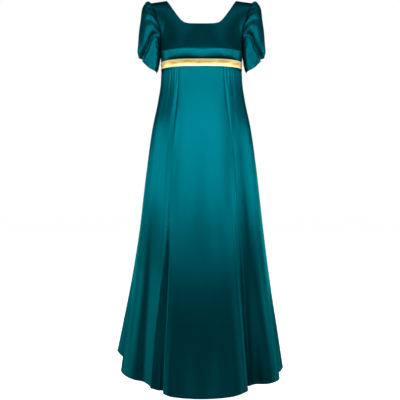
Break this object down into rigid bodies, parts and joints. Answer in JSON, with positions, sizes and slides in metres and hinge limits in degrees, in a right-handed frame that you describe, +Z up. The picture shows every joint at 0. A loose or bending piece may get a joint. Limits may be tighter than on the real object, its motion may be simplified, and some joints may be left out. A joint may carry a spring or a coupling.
{
  "type": "regency gown",
  "caption": "Long high-waisted satin gown with a wide scooped neck, short gathered puff sleeves, a ribbon under the bust and a flared folded skirt, hollow as if worn.",
  "frame": {"origin": "where the wearer's shoulders hold the gown up: midway between the two outer ends of the shoulder seams and level with them", "axes": "+Z up the wearer, -Y out of the gown's front, +X to the wearer's left"},
  "size_m": [0.6608, 0.7254, 1.4033],
  "materials": {
    "teal_satin": "glossy satin weave",
    "gold_ribbon": "matt gold brocade ribbon"
  },
  "bodies": {
    "root": {"bodice_front": "teal_satin", "bodice_back_left": "teal_satin", "bodice_back_right": "teal_satin", "sleeve_left": "teal_satin", "sleeve_right": "teal_satin", "waist_trim": "gold_ribbon", "skirt_front_centre": "teal_satin", "skirt_front_left": "teal_satin", "skirt_front_right": "teal_satin", "skirt_back_left": "teal_satin", "skirt_back_right": "teal_satin"}
  },
  "joints": []
}
